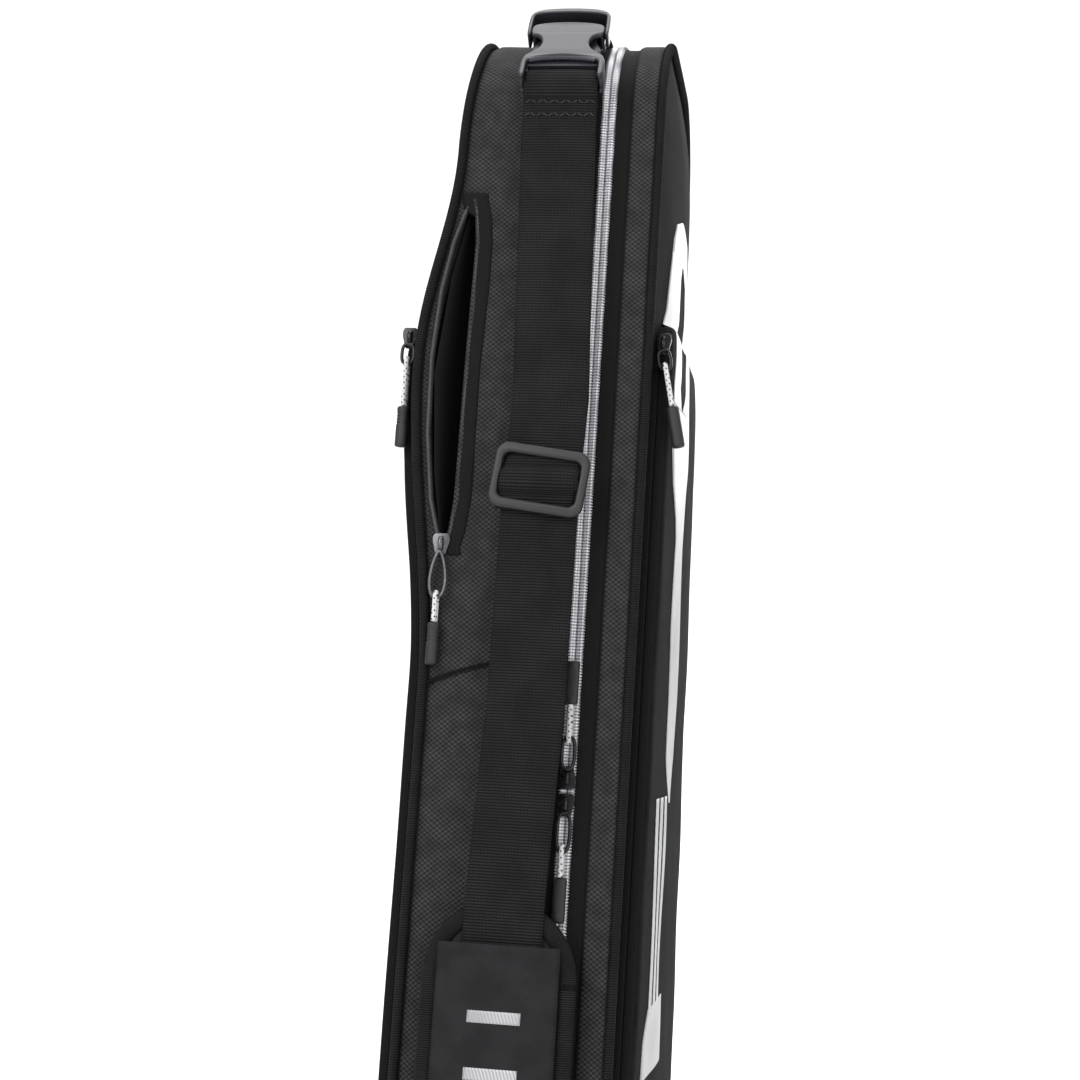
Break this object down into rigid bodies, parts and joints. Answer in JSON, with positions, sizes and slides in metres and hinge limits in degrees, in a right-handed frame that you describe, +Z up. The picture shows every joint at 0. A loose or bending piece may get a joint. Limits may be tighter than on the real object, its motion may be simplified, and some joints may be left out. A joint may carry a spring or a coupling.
{
  "type": "racket tournament bag",
  "caption": "Tall padded racket bag that opens like a clamshell along one side, with outer zip pockets, a phone pocket and a buckled shoulder strap with pad.",
  "frame": {"origin": "centre of the base's flat underside", "axes": "+Z up the bag, -Y out of the long zip side, +X out of the front face, where the lid is"},
  "size_m": [0.1477, 0.3178, 0.7692],
  "materials": {
    "shell_fabric": "matte twill",
    "mesh_fabric": "matte honeycomb weave",
    "piping": "ribbed",
    "lined_foam": "smooth lining over foam",
    "pocket_lining": "smooth",
    "base_guard": "matte",
    "webbing": "ribbed weave",
    "zip_tape": "fine weave",
    "zip_coil": "satin silver",
    "buckle_plastic": "satin",
    "adjuster_plastic": "matte",
    "slider_metal": "gloss black",
    "pull_cord": "white braid with black flecks",
    "pull_rubber": "matte",
    "reflective_print": "satin reflective film"
  },
  "bodies": {
    "deep_half": {"buckle_latch": "buckle_plastic", "buckle_socket": "buckle_plastic", "deep_base_guard": "base_guard", "deep_base_gusset": "mesh_fabric", "deep_spine_gusset": "mesh_fabric", "deep_top_gusset": "mesh_fabric", "deep_zip_coil": "zip_coil", "deep_zip_side_gusset": "mesh_fabric", "deep_zip_tape": "zip_tape", "lower_webbing": "webbing", "pad_binding": "piping", "pad_cover": "shell_fabric", "pad_foam": "lined_foam", "pad_sleeve": "shell_fabric", "phone_pouch": "pocket_lining", "phone_zip_edges": "zip_tape", "rear_lined_board": "lined_foam", "rear_panel": "shell_fabric", "rear_piping": "piping", "rear_pocket_panel": "shell_fabric", "rear_pocket_wall": "shell_fabric", "rear_pocket_zip": "zip_tape", "strap_webbing": "webbing", "top_anchor_webbing": "webbing"},
    "lid": {"front_lined_board": "lined_foam", "front_panel": "shell_fabric", "front_piping": "piping", "front_pocket_panel": "shell_fabric", "front_pocket_wall": "shell_fabric", "front_pocket_zip": "zip_tape", "lid_base_guard": "base_guard", "lid_base_gusset": "mesh_fabric", "lid_spine_gusset": "mesh_fabric", "lid_top_gusset": "mesh_fabric", "lid_zip_coil": "zip_coil", "lid_zip_side_gusset": "mesh_fabric", "lid_zip_tape": "zip_tape"},
    "upper_zip_slider": {"upper_zip_slider": "slider_metal"},
    "upper_zip_pull": {"upper_zip_pull_ring": "slider_metal", "upper_zip_pull_cord": "pull_cord", "upper_zip_pull_end": "pull_rubber"},
    "lower_zip_slider": {"lower_zip_slider": "slider_metal"},
    "lower_zip_pull": {"lower_zip_pull_ring": "slider_metal", "lower_zip_pull_cord": "pull_cord", "lower_zip_pull_end": "pull_rubber"},
    "phone_zip_slider": {"phone_zip_slider": "slider_metal"},
    "phone_zip_pull": {"phone_zip_pull_ring": "slider_metal", "phone_zip_pull_cord": "pull_cord", "phone_zip_pull_end": "pull_rubber"},
    "front_zip_slider": {"front_zip_slider": "slider_metal"},
    "front_zip_pull": {"front_zip_pull_ring": "slider_metal", "front_zip_pull_cord": "pull_cord", "front_zip_pull_end": "pull_rubber"},
    "rear_zip_slider": {"rear_zip_slider": "slider_metal"},
    "rear_zip_pull": {"rear_zip_pull_ring": "slider_metal", "rear_zip_pull_cord": "pull_cord", "rear_zip_pull_end": "pull_rubber"},
    "buckle_prong_front": {"buckle_prong_front": "buckle_plastic"},
    "buckle_prong_rear": {"buckle_prong_rear": "buckle_plastic"},
    "strap_adjuster": {"strap_adjuster": "adjuster_plastic"}
  },
  "joints": [
    {"name": "lid_open", "type": "hinge", "parent": "deep_half", "child": "lid", "pos_m": [0.0235, 0.12377, 0.4], "axis": [0, -0.1043, 0.9945], "range_deg": [0, 110]},
    {"name": "upper_zip_slide", "type": "slide", "parent": "deep_half", "child": "upper_zip_slider", "axis": [0, 0.1043, 0.9945], "range_m": [0, 0.28]},
    {"name": "lower_zip_slide", "type": "slide", "parent": "deep_half", "child": "lower_zip_slider", "axis": [0, -0.1043, -0.9945], "range_m": [0, 0.135]},
    {"name": "adjuster_slide", "type": "slide", "parent": "deep_half", "child": "strap_adjuster", "axis": [0, 0.1136, 0.9935], "range_m": [-0.2, 0.09]},
    {"name": "phone_zip_slide", "type": "slide", "parent": "deep_half", "child": "phone_zip_slider", "axis": [0, 0.1043, 0.9945], "range_m": [0, 0.16]},
    {"name": "front_zip_slide", "type": "slide", "parent": "lid", "child": "front_zip_slider", "axis": [0, -0.1043, -0.9945], "range_m": [0, 0.39]},
    {"name": "rear_zip_slide", "type": "slide", "parent": "deep_half", "child": "rear_zip_slider", "axis": [0.0532, -0.1042, -0.9931], "range_m": [0, 0.28]},
    {"name": "upper_zip_pull_swing", "type": "hinge", "parent": "upper_zip_slider", "child": "upper_zip_pull", "pos_m": [0.0235, -0.13081, 0.37797], "axis": [1, 0, 0], "range_deg": [0, 150]},
    {"name": "lower_zip_pull_swing", "type": "hinge", "parent": "lower_zip_slider", "child": "lower_zip_pull", "pos_m": [0.0235, -0.13301, 0.35701], "axis": [1, 0, 0], "range_deg": [-150, 0]},
    {"name": "phone_zip_pull_swing", "type": "hinge", "parent": "phone_zip_slider", "child": "phone_zip_pull", "pos_m": [-0.0465, -0.12005, 0.48051], "axis": [-1, 0, 0], "range_deg": [0, 150]},
    {"name": "front_zip_pull_swing", "type": "hinge", "parent": "front_zip_slider", "child": "front_zip_pull", "pos_m": [0.0573, -0.09778, 0.58736], "axis": [-0.9781, -0.0217, -0.2068], "range_deg": [0, 90]},
    {"name": "rear_zip_pull_swing", "type": "hinge", "parent": "rear_zip_slider", "child": "rear_zip_pull", "pos_m": [-0.0728, -0.09778, 0.58736], "axis": [-1, 0, 0], "range_deg": [0, 100]},
    {"name": "buckle_prong_front_squeeze", "type": "hinge", "parent": "deep_half", "child": "buckle_prong_front", "pos_m": [0.0125, -0.07994, 0.75661], "axis": [0, 0.809, -0.5878], "range_deg": [0, 7], "stiffness_Nm_per_rad": 0.3},
    {"name": "buckle_prong_rear_squeeze", "type": "hinge", "parent": "deep_half", "child": "buckle_prong_rear", "pos_m": [-0.0125, -0.07994, 0.75661], "axis": [0, -0.809, 0.5878], "range_deg": [0, 7], "stiffness_Nm_per_rad": 0.3}
  ]
}
